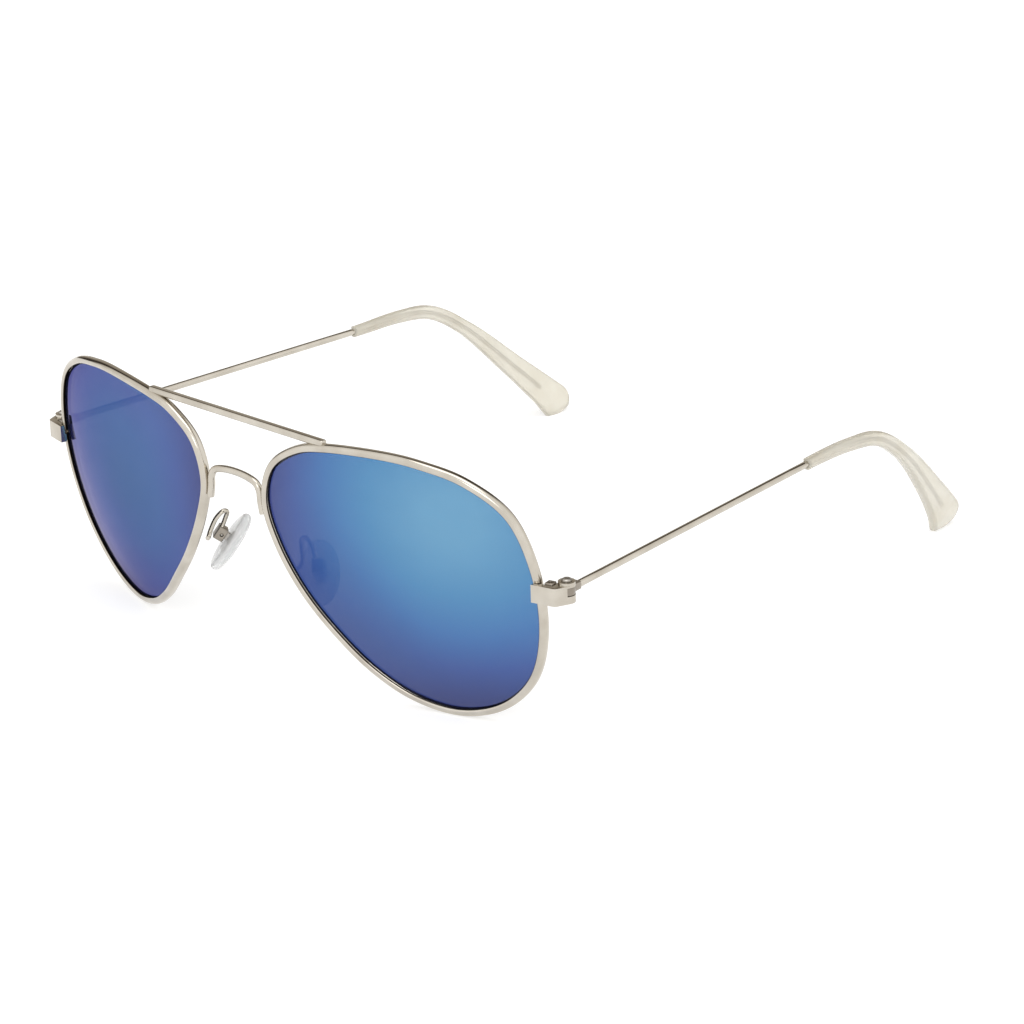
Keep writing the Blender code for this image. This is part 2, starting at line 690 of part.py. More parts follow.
def make_pad_screw():
    """The small screw across the box that the pad rocks on."""
    seat = Matrix.Translation((BOX_SIZE.x / 2 + FIT_GAP, 0, 0))
    place = pivot_frame() @ seat @ Matrix.Rotation(math.radians(90), 4, "Y")
    return slotted_screw(PAD_SCREW_RADIUS, 0.65 * MM, BOX_SIZE.x, 0.35 * MM, place)


def make_pad_arm():
    """The pad arm: a wire looped from the rim's back up and round to the box."""
    points = [Vector(point) * MM for point in ARM_LINE]
    return combined(wire_mesh(smooth_line(points, 22), ARM_RADIUS), "DIFFERENCE", rim_room())


def joint_empty(name, place):
    """An empty on a joint's axis."""
    empty = bpy.data.objects.new(name, None)
    empty.matrix_world = ONTO_ORIGIN @ place
    return link(empty, pieces)


def mirrored_place(place):
    """The same place on the other side of the nose."""
    flip = Matrix.Diagonal((-1, 1, 1, 1))
    return flip @ place @ flip


def hang_from(empty, obj):
    """Parent a piece to a joint's empty without moving it."""
    bpy.context.view_layer.update()
    obj.parent = empty
    obj.matrix_parent_inverse = empty.matrix_world.inverted()


def make_pair(name, mesh, material_for, empties=None):
    """A left piece from its mesh, and a right piece from the mirror image."""
    other = mesh.copy()
    other.transform(Matrix.Diagonal((-1, 1, 1, 1)))
    for side, shape in (("left", mesh), ("right", other)):
        piece = name + "_" + side
        obj = make_piece(piece, shape, material_for(piece))
        if empties:
            hang_from(empties[side], obj)


def lens_tint(piece):
    """Blue mirror-coated lens."""
    return make_material(piece + "_tint", (0.13, 0.29, 0.52), 0.06, 0.3)


def tip_plastic(piece):
    """Translucent cream plastic."""
    return make_material(piece + "_plastic", (0.80, 0.77, 0.68), 0.35, 0.0)


def pad_silicone(piece):
    """Clear soft silicone."""
    return make_material(piece + "_silicone", (0.78, 0.80, 0.80), 0.3, 0.0)


def steel(piece):
    """Screws and inserts."""
    return metal(piece, "steel")


def build():
    """Model every piece of the sunglasses."""
    temples = {"left": joint_empty("temple_axis_left", temple_frame())}
    temples["right"] = joint_empty("temple_axis_right", mirrored_place(temple_frame()))
    pads = {"left": joint_empty("pad_axis_left", pivot_frame())}
    pads["right"] = joint_empty("pad_axis_right", mirrored_place(pivot_frame()))

    make_pair("rim", make_rim(), metal)
    make_pair("lens", make_lens(), lens_tint)
    make_pair("end_piece", make_end_piece(), metal)
    make_pair("rim_lock_upper", make_rim_lock(1), metal)
    make_pair("rim_lock_lower", make_rim_lock(-1), metal)
    make_pair("rim_lock_screw", make_rim_lock_screw(), steel)
    make_pair("hinge_screw", make_hinge_screw(), steel)
    make_pair("pad_arm", make_pad_arm(), metal)
    make_pair("pad_box", make_pad_box(), metal)
    make_pair("pad_screw", make_pad_screw(), steel)
    make_piece("brow_bar", make_brow_bar(), metal("brow_bar"))
    make_piece("nose_bridge", make_nose_bridge(), metal("nose_bridge"))

    make_pair("temple_hinge", make_temple_hinge(), metal, temples)
    make_pair("temple_wire", make_temple_wire(), metal, temples)
    make_pair("temple_tip", make_temple_tip(), tip_plastic, temples)
    make_pair("nose_pad", make_nose_pad(), pad_silicone, pads)
    make_pair("pad_insert", make_pad_insert(), steel, pads)


clear_scene()
pieces = make_collection(ASSEMBLY)
cutters = make_collection("cutters")
build()
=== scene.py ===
# %% [markdown]
# # Aviator sunglasses in a plain studio
#
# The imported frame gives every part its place, size and joint. This lesson gives them their looks:
# rims, lenses, wires, tips and pads are modelled again with a fine surface, the small hinge parts
# are softened at their edges, and every surface gets a procedural finish. Everything is in metres:
# +Z is up, the front faces -Y, the temples reach back to +Y, and the wearer's left is +X.

import json
import math

import bpy
from mathutils import Matrix, Vector


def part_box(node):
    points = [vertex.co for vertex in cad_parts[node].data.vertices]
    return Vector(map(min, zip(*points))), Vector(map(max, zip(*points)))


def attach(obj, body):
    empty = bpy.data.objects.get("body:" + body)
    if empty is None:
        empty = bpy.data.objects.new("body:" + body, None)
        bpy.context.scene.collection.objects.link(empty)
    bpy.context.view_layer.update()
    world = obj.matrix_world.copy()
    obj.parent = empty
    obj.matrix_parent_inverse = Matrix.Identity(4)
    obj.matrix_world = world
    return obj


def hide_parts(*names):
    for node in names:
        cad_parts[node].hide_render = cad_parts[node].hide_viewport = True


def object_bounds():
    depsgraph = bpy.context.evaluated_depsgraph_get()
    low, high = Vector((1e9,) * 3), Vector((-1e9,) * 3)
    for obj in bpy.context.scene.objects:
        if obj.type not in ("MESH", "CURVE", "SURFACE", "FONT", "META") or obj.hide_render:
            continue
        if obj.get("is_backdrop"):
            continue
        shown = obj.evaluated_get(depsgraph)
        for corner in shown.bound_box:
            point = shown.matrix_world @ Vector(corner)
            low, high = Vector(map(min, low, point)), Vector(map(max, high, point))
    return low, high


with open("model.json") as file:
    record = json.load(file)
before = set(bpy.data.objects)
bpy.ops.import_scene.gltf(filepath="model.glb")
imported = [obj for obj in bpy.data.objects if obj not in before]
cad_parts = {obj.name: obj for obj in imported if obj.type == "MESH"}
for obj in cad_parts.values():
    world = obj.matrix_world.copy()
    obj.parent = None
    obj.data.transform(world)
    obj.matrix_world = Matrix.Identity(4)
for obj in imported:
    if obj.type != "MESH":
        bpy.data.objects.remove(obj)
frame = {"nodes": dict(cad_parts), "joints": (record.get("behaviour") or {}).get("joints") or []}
cad_low, cad_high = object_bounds()

# %% [markdown]
# ## Working by hand, from a script
#
# An operator works on whatever is selected, so each step first selects one object and nothing
# else. A finished piece keeps its place in its mesh: its object ends at the origin, unturned.
# The two sides of the sunglasses mirror each other, so each paired piece is made once, for the
# wearer's left, and its copy is scaled by -1 across the nose. That turns a shape inside out, so
# the copy's faces are turned outwards again.

# %% Small helpers for selecting, applying and copying
MM = 0.001
SIDES = ("left", "right")
WELD = 0.002 * MM             # points closer than this are one point


def pick(obj):
    """Select one object and make it the active one."""
    bpy.ops.object.select_all(action="DESELECT")
    obj.select_set(True)
    bpy.context.view_layer.objects.active = obj
    return obj


def in_edit_mode(obj, *steps):
    """Run steps on the whole mesh in edit mode."""
    pick(obj)
    bpy.ops.object.mode_set(mode="EDIT")
    bpy.ops.mesh.select_all(action="SELECT")
    for step in steps:
        step()
    bpy.ops.object.mode_set(mode="OBJECT")
    return obj


def merge_and_face_outwards(obj):
    """Merge points that meet, then turn every face outwards."""
    return in_edit_mode(
        obj,
        lambda: bpy.ops.mesh.remove_doubles(threshold=WELD),
        lambda: bpy.ops.mesh.normals_make_consistent(inside=False),
    )


def add_modifier(obj, kind, **settings):
    """Add a modifier with its settings and apply it."""
    pick(obj)
    modifier = obj.modifiers.new(kind.lower(), kind)
    for name, value in settings.items():
        setattr(modifier, name, value)
    bpy.ops.object.modifier_apply(modifier=modifier.name)
    return obj


def settle(obj, place=None):
    """Set a piece in its place and bake that place into its mesh."""
    if place is not None:
        obj.matrix_world = place
    pick(obj)
    bpy.ops.object.transform_apply(location=True, rotation=True, scale=True)
    return obj


def smooth(obj, degrees=32):
    """Shade smooth, with edges sharper than an angle left crisp."""
    pick(obj)
    bpy.ops.object.shade_smooth_by_angle(angle=math.radians(degrees))
    return obj


def mirrored(obj, name):
    """A copy of a piece across the nose, with a mesh of its own."""
    pick(obj)
    bpy.ops.object.duplicate()
    other = bpy.context.object
    other.name = name
    other.scale.x = -1
    settle(other)
    return merge_and_face_outwards(other)


def dress(obj, body, slot, *nodes):
    """Let a piece ride on its body and stand for its nodes. The slot is not used."""
    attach(obj, body)
    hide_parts(*nodes)
    return obj


print("helpers ready")

# %% [markdown]
# ## Lines, wires and swept sections
#
# Half of a pair of metal sunglasses is bent wire. A wire is a curve with a round bevel, and a rim
# is a shaped section swept along a closed curve. The curve runs smoothly through a few chosen
# points. A centripetal Catmull-Rom curve is used because it passes through its points without
# overshooting where they lie unevenly, as they do round a teardrop.

# %% Smooth curves through a few points
FINE_STEPS = 24               # steps drawn between two chosen points
WIRE_END_ROUNDING = 0.3       # share of a wire's radius that its ends are rounded by


def blend_points(a, b, c, d, share):
    """A point between b and c on the smooth curve through a, b, c and d."""
    knots = [0.0]
    for first, second in ((a, b), (b, c), (c, d)):
        knots.append(knots[-1] + math.sqrt((second - first).length))
    t = knots[1] + share * (knots[2] - knots[1])

    def mix(p, q, low, high):
        return p.lerp(q, (t - knots[low]) / (knots[high] - knots[low]))

    ab, bc, cd = mix(a, b, 0, 1), mix(b, c, 1, 2), mix(c, d, 2, 3)
    return mix(mix(ab, bc, 0, 2), mix(bc, cd, 1, 3), 1, 2)


def evenly(points, count, closed):
    """Points at equal steps along a polyline; a closed one leaves out its repeated end."""
    lengths = [0.0]
    for first, second in zip(points, points[1:]):
        lengths.append(lengths[-1] + (second - first).length)
    steps = count if closed else count - 1
    result = []
    span = 0
    for i in range(count):
        target = lengths[-1] * i / steps
        while span < len(points) - 2 and lengths[span + 1] < target:
            span += 1
        share = (target - lengths[span]) / (lengths[span + 1] - lengths[span])
        result.append(points[span].lerp(points[span + 1], share))
    return result


def smooth_line(points, count, closed=False):
    """Evenly spaced points on the smooth curve through the given ones."""
    points = [Vector(point) for point in points]
    fine = []
    for i in range(len(points) if closed else len(points) - 1):
        if closed:
            a, b, c, d = (points[(i + k) % len(points)] for k in (-1, 0, 1, 2))
        else:
            b, c = points[i], points[i + 1]
            a = points[i - 1] if i else 2 * b - c
            d = points[i + 2] if i + 2 < len(points) else 2 * c - b
        fine += [blend_points(a, b, c, d, step / FINE_STEPS) for step in range(FINE_STEPS)]
    fine.append(points[0] if closed else points[-1])
    return evenly(fine, count, closed)


def draw_curve(name, points, closed=False, flat=False):
    """A curve object with straight spans through many close points."""
    bpy.ops.object.select_all(action="DESELECT")
    bpy.ops.curve.primitive_bezier_curve_add()
    curve = bpy.context.object
    curve.name = name
    curve.data.dimensions = "2D" if flat else "3D"
    curve.data.splines.clear()
    spline = curve.data.splines.new("POLY")
    spline.points.add(len(points) - 1)
    for knot, point in zip(spline.points, points):
        knot.co = (*Vector(point).to_3d(), 1)
    spline.use_cyclic_u = closed
    return curve


def to_mesh(curve):
    """Turn a curve into a mesh piece with its caps joined on."""
    pick(curve)
    bpy.ops.object.convert(target="MESH")
    return merge_and_face_outwards(bpy.context.object)


def wire(name, points, radius, count=60, sides=6):
    """A round wire with rounded ends, along a smooth line through the points."""
    line = smooth_line(points, count)
    curve = draw_curve(name, line)
    curve.data.bevel_depth = radius
    curve.data.bevel_resolution = sides
    curve.data.use_fill_caps = True
    rod = to_mesh(curve)
    add_modifier(rod, "BEVEL", width=radius * WIRE_END_ROUNDING, segments=3,
                 limit_method="ANGLE", angle_limit=math.radians(60))
    return smooth(rod, 40)


def oval(centre, across, along, start, end, steps):
    """Points along an oval's arc; angles are in degrees."""
    angles = [math.radians(start + (end - start) * i / steps) for i in range(steps + 1)]
    return [centre + Vector((across * math.cos(a), along * math.sin(a))) for a in angles]


print("a test line of", len(smooth_line([(0, 0, 0), (1, 0, 0), (1, 1, 0)], 20)), "points")

# %% [markdown]
# ## Where the lens sits
#
# A lens is a piece of a large sphere. It is drawn flat, in its own axes, then curved back by the
# sphere's sag, and stood up in its place: turned back towards the temple and leaning forward a
# little. Rim and lens share these axes and the same outline, so that one fits the other.

# %% The lens's axes, outline and curve
LENS_CURVE = 108 * MM
LENS_THICKNESS = 1.6 * MM
LENS_PLACE = Vector((36.8, -70.4, 37.0)) * MM
WRAP = math.radians(12.8)
LEAN = math.radians(1.7)
RIM_POINTS = 190

# The rim's inner outline in millimetres, from the top middle towards the nose and round.
RIM_OUTLINE = [
    (0, 13.7), (-12.9, 12.9), (-19.5, 11.3), (-25.7, 6.9), (-27.8, 0), (-25.6, -7.6),
    (-20.5, -16.2), (-13.8, -23.8), (-7, -30), (0.5, -34.3), (9.6, -35.9), (18.5, -33.2),
    (25.3, -26.5), (28.6, -16.5), (28.3, -4.5), (24.2, 5.6), (16.2, 11), (7.6, 13.1),
]

lens_axes = Matrix.Translation(LENS_PLACE)
lens_axes @= Matrix.Rotation(LEAN, 4, "X") @ Matrix.Rotation(WRAP, 4, "Z")
facing_forward = lens_axes @ Matrix.Rotation(math.radians(90), 4, "X")


def lens_sag(x, y):
    """How far the lens's middle surface has fallen back at a point of its outline."""
    return LENS_CURVE - math.sqrt(LENS_CURVE ** 2 - x * x - y * y)


def rim_outline(count):
    """The rim's inner edge as even points."""
    return smooth_line([Vector(point).to_3d() * MM for point in RIM_OUTLINE], count, closed=True)


def grown(points, amount):
    """A closed outline moved outwards by an amount."""
    result = []
    for i, point in enumerate(points):
        run = points[(i + 1) % len(points)] - points[i - 1]
        result.append(point + amount * Vector((run.y, -run.x, 0)).normalized())
    return result


outline = rim_outline(RIM_POINTS)
width = max(p.x for p in outline) - min(p.x for p in outline)
print("rim opening", round(width / MM, 1), "mm wide")

# %% [markdown]
# ## The rims
#
# A real rim is drawn eyewire: a strip with a groove inside for the lens, crowned at its front and
# its back and falling away to its outer side. It is bent round the lens and its ends meet in a
# lock at the hinge. Sweeping the strip's section along the outline does the same. The groove is
# part of the section, so the lens can really sit in it. The wall that looks at the lens goes in
# a second material slot with a dark colour, which is painted shade: it stands for the shade and
# dark reflections inside the groove.

# %% Sweep the rim's section round the lens
RIM_WIDTH = 1.4 * MM
RIM_DEPTH = 2.0 * MM
GROOVE_MOUTH = 1.52 * MM
GROOVE_FLOOR = 0.52 * MM
GROOVE_DEPTH = 0.6 * MM
RIM_CREST = 0.55 * MM         # the section stands highest this far from the lens
RIM_SHOULDER = 0.8 * MM       # it falls by this to its outer side
LIP_FALL = 0.28 * MM          # and by this to its inner lip
INNER_WALL_REACH = 0.6 * RIM_WIDTH    # the inner wall and groove lie this close to the lens
INNER_WALL_FACING = 0.75      # and look at it at least this squarely (1 is straight at it)


def rim_section():
    """Outward from the lens, and forward: crowned front and back, with a groove inside."""
    half = RIM_DEPTH / 2
    mouth, floor = GROOVE_MOUTH / 2, GROOVE_FLOOR / 2
    inner = Vector((RIM_CREST, half - LIP_FALL))
    outer = Vector((RIM_CREST, half - RIM_SHOULDER))
    front = oval(inner, RIM_CREST, LIP_FALL, 165, 90, 6)
    front += oval(outer, RIM_WIDTH - RIM_CREST, RIM_SHOULDER, 80, 0, 9)
    section = front + [Vector((p.x, -p.y)) for p in reversed(front)]
    section += [Vector((0, -mouth)), Vector((GROOVE_DEPTH, -floor))]
    section += [Vector((GROOVE_DEPTH, floor)), Vector((0, mouth))]
    return section


def mark_groove_painted_shade(obj):
    """Put the faces that look at the lens, and those of its groove, in the second slot, the one
    with the painted shade.
    """
    outward = [grown_point - point for grown_point, point in zip(grown(outline, 1), outline)]
    for face in obj.data.polygons:
        flat = Vector((face.center.x, face.center.y, 0))
        nearest = min(range(len(outline)), key=lambda i: (outline[i] - flat).length_squared)
        near_lens = (flat - outline[nearest]).dot(outward[nearest]) < INNER_WALL_REACH
        inward = face.normal.dot(outward[nearest]) < -INNER_WALL_FACING
        face.material_index = int(near_lens and inward)


section = draw_curve("rim_section", rim_section(), closed=True, flat=True)
section.data.fill_mode = "NONE"
line = [Vector((p.x, p.y, -lens_sag(p.x, p.y))) for p in outline]
sweep = draw_curve("eyewire_left", line, closed=True)
sweep.data.bevel_mode = "OBJECT"
sweep.data.bevel_object = section
sweep.data.twist_mode = "Z_UP"
rim = to_mesh(sweep)
rim.data.materials.clear()
mark_groove_painted_shade(rim)
settle(rim, facing_forward)
bpy.data.objects.remove(section, do_unlink=True)
print("rim:", len(rim.data.polygons), "faces")

# %% [markdown]
# The rim is sawn through where the lock closes it, which shows as a fine dark line beside the
# hinge. A thin block cuts it with a Boolean, as a saw does. Its lowest point is worn to a small
# flat where it stands on the table: a bisect at height zero takes off what would dip below it.

# %% Saw the rim at the hinge and trim what dips below the table
SAW_SIZE = Vector((4.4, 6, 0.3)) * MM
SAW_PLACE = (-4.55 * MM, -1.1 * MM, 0)    # from the hinge, in the hinge's axes
TRIM_THRESHOLD = 0.0001 * MM  # the dip is tiny, so the cut must notice less than that

hinge_place = next(Vector(joint["pos_m"]) for joint in frame["joints"]
                   if joint["name"] == "temple_left_fold")
hinge_axes = Matrix.Translation(hinge_place) @ Matrix.Rotation(WRAP, 4, "Z")


def cut(obj, tool):
    """Cut one solid with another, then throw the cutter away."""
    add_modifier(obj, "BOOLEAN", operation="DIFFERENCE", object=tool)
    bpy.data.objects.remove(tool, do_unlink=True)
    return obj


def block(size, place):
    """A cutter block of a given size, set in place."""
    bpy.ops.object.select_all(action="DESELECT")
    bpy.ops.mesh.primitive_cube_add(size=1)
    cutter = bpy.context.object
    cutter.scale = size
    settle(cutter)
    return settle(cutter, place)


def trim_at_table(obj):
    """Take off what dips below height zero and close the cut."""
    return in_edit_mode(obj, lambda: bpy.ops.mesh.bisect(
        plane_co=(0, 0, 0), plane_no=(0, 0, 1), use_fill=True, clear_inner=True,
        threshold=TRIM_THRESHOLD))


cut(rim, block(SAW_SIZE, hinge_axes @ Matrix.Translation(SAW_PLACE)))
trim_at_table(rim)
smooth(rim, 30)
print("rim after sawing:", len(rim.data.polygons), "faces")

# %% Mirror the rim and put both on the front
rims = {"left": rim, "right": mirrored(rim, "eyewire_right")}
for side in SIDES:
    dress(rims[side], "front", "nickel", f"rim_{side}")
print("rims:", [rims[side].name for side in SIDES])

# %% [markdown]
# ## The lenses
#
# A sunglass lens is moulded as a round curved blank, edged to the rim's outline and ground to a
# blunt V all round, which sits in the rim's groove. Here the outline is filled with a grid of
# faces, so that the curve stays even all over and mirrors cleanly. Each point falls back by the
# sphere's sag, and Solidify gives the thickness. The front is then set back a little, so that
# the rim stands proud of it, and the band round the edge is inset and pushed out to the V.

# %% Fill, curve and thicken the lens
LENS_SHOULDER = 0.25 * MM
LENS_FOOT = 0.45 * MM
FRONT_RECESS = 0.45 * MM      # the coated face lies this much further back in the rim
EDGE_POINTS = 160
BLANK_RADIUS = LENS_CURVE / 4     # of the circle, before its points move to the outline

bpy.ops.object.select_all(action="DESELECT")
bpy.ops.mesh.primitive_circle_add(vertices=EDGE_POINTS, radius=BLANK_RADIUS)
lens = bpy.context.object
lens.name = "sun_lens_left"
for vertex, point in zip(lens.data.vertices, grown(rim_outline(EDGE_POINTS), -LENS_SHOULDER)):
    vertex.co = point
in_edit_mode(lens, lambda: bpy.ops.mesh.fill_grid(span=EDGE_POINTS // 4))
for vertex in lens.data.vertices:
    vertex.co.z = -lens_sag(vertex.co.x, vertex.co.y)
in_edit_mode(lens, lambda: bpy.ops.mesh.normals_make_consistent(inside=False))
if lens.data.polygons[0].normal.z < 0:
    in_edit_mode(lens, lambda: bpy.ops.mesh.flip_normals())
add_modifier(lens, "SOLIDIFY", thickness=LENS_THICKNESS, offset=0, use_even_offset=True)
for vertex in lens.data.vertices:
    if vertex.co.z > -lens_sag(vertex.co.x, vertex.co.y):
        vertex.co.z -= FRONT_RECESS
print("lens:", len(lens.data.polygons), "faces")


# %% Push the band round its edge out to a blunt V
BAND_FACING = 0.6             # the band's faces look less than this along the lens's axis
BAND_INSET = 0.5 * MM         # what is left between is the land along the V's point


def choose_faces(obj, wanted):
    """Select only the faces that a test picks, and stay in edit mode."""
    pick(obj)
    bpy.ops.object.mode_set(mode="EDIT")
    bpy.ops.mesh.select_mode(type="FACE")
    bpy.ops.mesh.select_all(action="DESELECT")
    bpy.ops.object.mode_set(mode="OBJECT")
    for face in obj.data.polygons:
        face.select = wanted(face)
    bpy.ops.object.mode_set(mode="EDIT")


choose_faces(lens, lambda face: abs(face.normal.z) < BAND_FACING)
band = sum(face.select for face in lens.data.polygons)
bpy.ops.mesh.inset(thickness=BAND_INSET, depth=LENS_FOOT + LENS_SHOULDER)
bpy.ops.object.mode_set(mode="OBJECT")
print("edge band:", band, "faces")

# %% [markdown]
# The front of the lens carries the mirror coat, the back has the plain tint and the ground edge is
# matt, with a dark colour that is painted shade of the rim's groove, so each face gets one of
# three finishes by the way it faces. The mirrored copy keeps them.

# %% Stand the lenses up
GROUND_FACING = 0.8           # ground faces look less than this along the lens's axis
COATED, TINTED, GROUND = 0, 1, 2

smooth(lens, 40)
for face in lens.data.polygons:
    if abs(face.normal.z) < GROUND_FACING:
        face.material_index = GROUND
    else:
        face.material_index = COATED if face.normal.z >= 0 else TINTED
settle(lens, facing_forward)
merge_and_face_outwards(lens)
lenses = {"left": lens, "right": mirrored(lens, "sun_lens_right")}
for side in SIDES:
    dress(lenses[side], "front", "lens", f"lens_{side}")
print("lens faces with the coat:", sum(f.material_index == COATED for f in lens.data.polygons))

# %% [markdown]
# ## The two bridges
#
# The nose bridge is one piece of round wire, bent to an arch, with its two legs soldered along the
# rims. The brow bar above it is a straight square bar with softened edges, which stiffens the
# front. The bar starts as a cube at its real size, and its edges are bevelled.

# %% Bend the nose bridge
BRIDGE_RADIUS = 0.7 * MM
# Half of the arch, from a leg's foot to the middle: millimetres across and up.
BRIDGE_LINE = [(7.2, 33.9), (6.75, 36.2), (6.55, 38.2), (5.7, 39.5), (3.6, 40.2), (0, 40.5)]

bridge_low, bridge_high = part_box("nose_bridge")
bridge_depth = (bridge_low.y + bridge_high.y) / 2
half = [Vector((x * MM, bridge_depth, z * MM)) for x, z in BRIDGE_LINE]
other_half = [Vector((-p.x, p.y, p.z)) for p in reversed(half[:-1])]
arch = wire("arched_bridge", half + other_half, BRIDGE_RADIUS, count=90)
dress(arch, "front", "nickel", "nose_bridge")
print("bridge:", len(arch.data.polygons), "faces")

# %% Square up the brow bar
BAR_ROUNDING = 0.42 * MM

bar_low, bar_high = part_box("brow_bar")
bpy.ops.object.select_all(action="DESELECT")
bpy.ops.mesh.primitive_cube_add(size=1, location=(bar_low + bar_high) / 2)
bar = bpy.context.object
bar.name = "top_bar"
bar.scale = bar_high - bar_low
settle(bar)
in_edit_mode(
    bar,
    lambda: bpy.ops.mesh.bevel(offset=BAR_ROUNDING, segments=5, affect="EDGES"),
)
smooth(bar, 50)
dress(bar, "front", "nickel", "brow_bar")
print("bar:", len(bar.data.polygons), "faces")

# %% [markdown]
# ## The temples
#
# Each temple is one wire. It leaves the hinge leaf straight, and inside the plastic tip it is
# thinner and runs almost to the end, where it shows as a darker line. Tip and wire share one
# middle line: level to the bend behind the ear, then down to the table, bowed a little outwards
# and leaning inwards on the way.

# %% The temple's axes and middle line
TEMPLE_TURN = math.radians(5.16)
# The tip's middle line in millimetres, back from the hinge and up from the table, half the
# tip's width at each of its points, and the tip's end from its lower edge to its upper corner.
TIP_LINE = [(74.1, 30.75), (87.3, 30.8), (96.2, 29.5), (105.3, 23.9), (118.5, 11.5), (128.3, 1.7)]
TIP_HALF_WIDTH = [1.1, 1.3, 1.5, 1.65, 2.75, 3.9]
TIP_END = [(124.5, 0.85), (127.4, 0.75), (130.3, 2.0), (131.1, 3.4)]
TIP_BOW = 1.1 * MM            # outwards, from the mouth to the bend
TIP_LEAN = 4.9 * MM           # inwards, from the bend to the table
LEAN_POWER = 1.9              # most of the lean comes near the table
TIP_THICKNESS = 2.2 * MM
TIP_EDGE = 0.85 * MM          # rounding of the tip's edges
CORE_END = 0.9                # the core wire ends at this share of the middle line
STATIONS = 72

temple_axes = Matrix.Translation(hinge_place) @ Matrix.Rotation(TEMPLE_TURN, 4, "Z")


def temple_sweep(back, up):
    """How far outwards the tip stands, a distance back from the hinge and up from the table."""
    start, bend = TIP_LINE[0][0] * MM, TIP_LINE[2][0] * MM
    share = min(1.0, max(0.0, (back - start) / (bend - start)))
    fallen = max(0.0, 1 - up / (TIP_LINE[2][1] * MM))
    return TIP_BOW * share * share * (3 - 2 * share) - TIP_LEAN * fallen ** LEAN_POWER


def tip_middle(count):
    """The tip's middle line: points (outwards, back, up from the hinge)."""
    points = smooth_line([Vector((back, up, 0)) * MM for back, up in TIP_LINE], count)
    return [Vector((temple_sweep(p.x, p.y), p.x, p.y - hinge_place.z)) for p in points]


def half_width(back):
    """Half the tip's width at a distance back from the hinge."""
    stations = [station * MM for station, _ in TIP_LINE]
    for low, high, near, far in zip(stations, stations[1:], TIP_HALF_WIDTH, TIP_HALF_WIDTH[1:]):
        if back <= high:
            break
    share = min(1.0, max(0.0, (back - low) / (high - low)))
    return (near * (1 - share) + far * share) * MM


print("tip falls", round(TIP_LINE[0][1] - TIP_LINE[-1][1], 1), "mm")

# %% Draw the temple wires
WIRE_RADIUS = 0.7 * MM
CORE_RADIUS = 0.45 * MM
LEAF_LENGTH = 3.3 * MM        # the wire starts this far behind the hinge's axis
WIRE_RISE = 0.4 * MM          # and this far above the hinge's middle

leaf_end = Vector((0, LEAF_LENGTH, WIRE_RISE))
core_line = tip_middle(STATIONS)
core_line = core_line[:round(len(core_line) * CORE_END)]
rod = wire("temple_rod_left", [leaf_end, leaf_end.lerp(core_line[0], 0.5), core_line[0]],
           WIRE_RADIUS, count=12)
core = wire("temple_core_left", core_line, CORE_RADIUS, count=STATIONS, sides=4)
pick(rod)
core.select_set(True)
bpy.ops.object.join()
rod = settle(bpy.context.object, temple_axes)
rods = {"left": rod, "right": mirrored(rod, "temple_rod_right")}
for side in SIDES:
    dress(rods[side], f"temple_{side}", "nickel", f"temple_wire_{side}")
print("wire:", len(rod.data.polygons), "faces")


# %% Cut the tip's side view and round its edges
CORNER_ROUNDING = 1.9 * MM
CORNER_STEPS = [step / 7 for step in range(1, 7)]
END_POINTS = 14
END_BLEND = 1.5               # the lower edge stops this many millimetres before the end starts
SIDE_VIEW_AXES = Matrix(((0, 0, 1, 0), (1, 0, 0, 0), (0, 1, 0, 0), (0, 0, 0, 1)))


def tip_outline(count):
    """The tip's side view (back, up), drawn inside its edge by the edge's rounding."""
    middle = [Vector((p.y, p.z)) for p in tip_middle(count)]
    middle[0] += (middle[1] - middle[0]).normalized() * TIP_EDGE
    upper, lower = [], []
    for i, point in enumerate(middle[:-1]):
        run = (middle[i + 1] - middle[max(i - 1, 0)]).normalized()
        side = Vector((-run.y, run.x)) * (half_width(point.x) - TIP_EDGE)
        upper.append(point + side)
        lower.append(point - side)
    limit = (TIP_END[0][0] - END_BLEND) * MM
    lower = [point for point in lower if point.x < limit]
    end = [Vector((back, up, 0)) * MM for back, up in TIP_END]
    end = [Vector((p.x, p.y - hinge_place.z)) for p in smooth_line(end, END_POINTS)]
    corner = end[-1]
    upper = [point for point in upper if (point - corner).length > CORNER_ROUNDING]
    end = [point for point in end if (point - corner).length > CORNER_ROUNDING]
    turn = [upper[-1].lerp(corner, t).lerp(corner.lerp(end[-1], t), t) for t in CORNER_STEPS]
    return upper + turn + list(reversed(end)) + list(reversed(lower))


curve = draw_curve("ear_tip_left", tip_outline(STATIONS), closed=True, flat=True)
curve.data.fill_mode = "BOTH"
curve.data.extrude = TIP_THICKNESS / 2 - TIP_EDGE
curve.data.bevel_depth = TIP_EDGE
curve.data.bevel_resolution = 5
curve.matrix_world = SIDE_VIEW_AXES
tip = settle(to_mesh(curve))
for vertex in tip.data.vertices:
    vertex.co.x += temple_sweep(vertex.co.y, vertex.co.z + hinge_place.z)
settle(tip, temple_axes)
trim_at_table(tip)
smooth(tip, 35)
tips = {"left": tip, "right": mirrored(tip, "ear_tip_right")}
for side in SIDES:
    dress(tips[side], f"temple_{side}", "tip", f"temple_tip_{side}")
print("tip:", len(tip.data.polygons), "faces")

# %% [markdown]
# ## The nose pads
#
# A nose pad is a soft clear oval moulded round a small metal plate. The plate's lug stands out of
# the pad's back into a box on the end of the pad arm, and a tiny screw holds it, so that the pad
# can rock. The pad starts as a sphere, pressed flat on both sides but a little fuller towards the
# nose, and subdivision smooths it. The arm is thin wire, looped from the rim's back.

